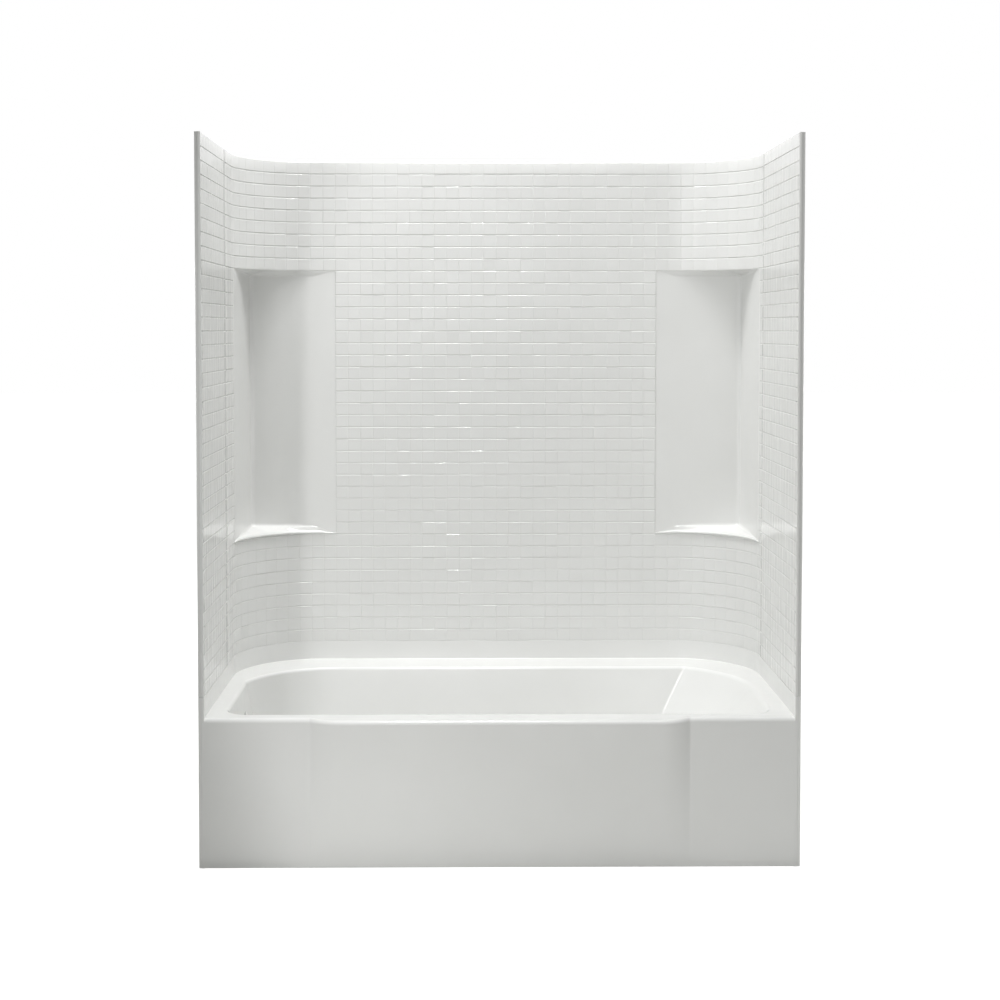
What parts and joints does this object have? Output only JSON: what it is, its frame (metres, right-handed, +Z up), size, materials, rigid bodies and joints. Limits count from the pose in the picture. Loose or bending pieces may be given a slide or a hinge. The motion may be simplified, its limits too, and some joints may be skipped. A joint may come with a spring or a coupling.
{
  "type": "tub and shower combo",
  "caption": "Alcove bath with a raised apron panel and a tiled three-panel shower surround with corner niches.",
  "frame": {"origin": "middle of the footprint, on the floor", "axes": "+X to the right of someone facing the alcove, +Y towards the rear studs, +Z up"},
  "size_m": [1.524, 0.792, 1.856],
  "materials": {
    "bath": "gloss white gelcoat",
    "wall": "gloss white gelcoat",
    "gasket": "pale grey foam rubber",
    "rivet": "natural nylon",
    "timber": "sawn softwood",
    "board": "plywood",
    "screw": "zinc plated",
    "foot": "black moulded rubber"
  },
  "bodies": {
    "root": {"bath": "bath", "back_wall": "wall", "left_end_wall": "wall", "right_end_wall": "wall", "left_seam_gasket": "gasket", "right_seam_gasket": "gasket", "left_seam_rivets": "rivet", "right_seam_rivets": "rivet", "back_sill_gasket": "gasket", "left_sill_gasket": "gasket", "right_sill_gasket": "gasket", "back_wall_battens": "timber", "left_wall_battens": "timber", "right_wall_battens": "timber", "front_base_rail": "timber", "front_rail_screws": "screw", "rear_base_rail": "timber", "rear_legs": "timber", "apron_ribs": "timber", "basin_board": "board", "basin_feet": "foot"}
  },
  "joints": []
}
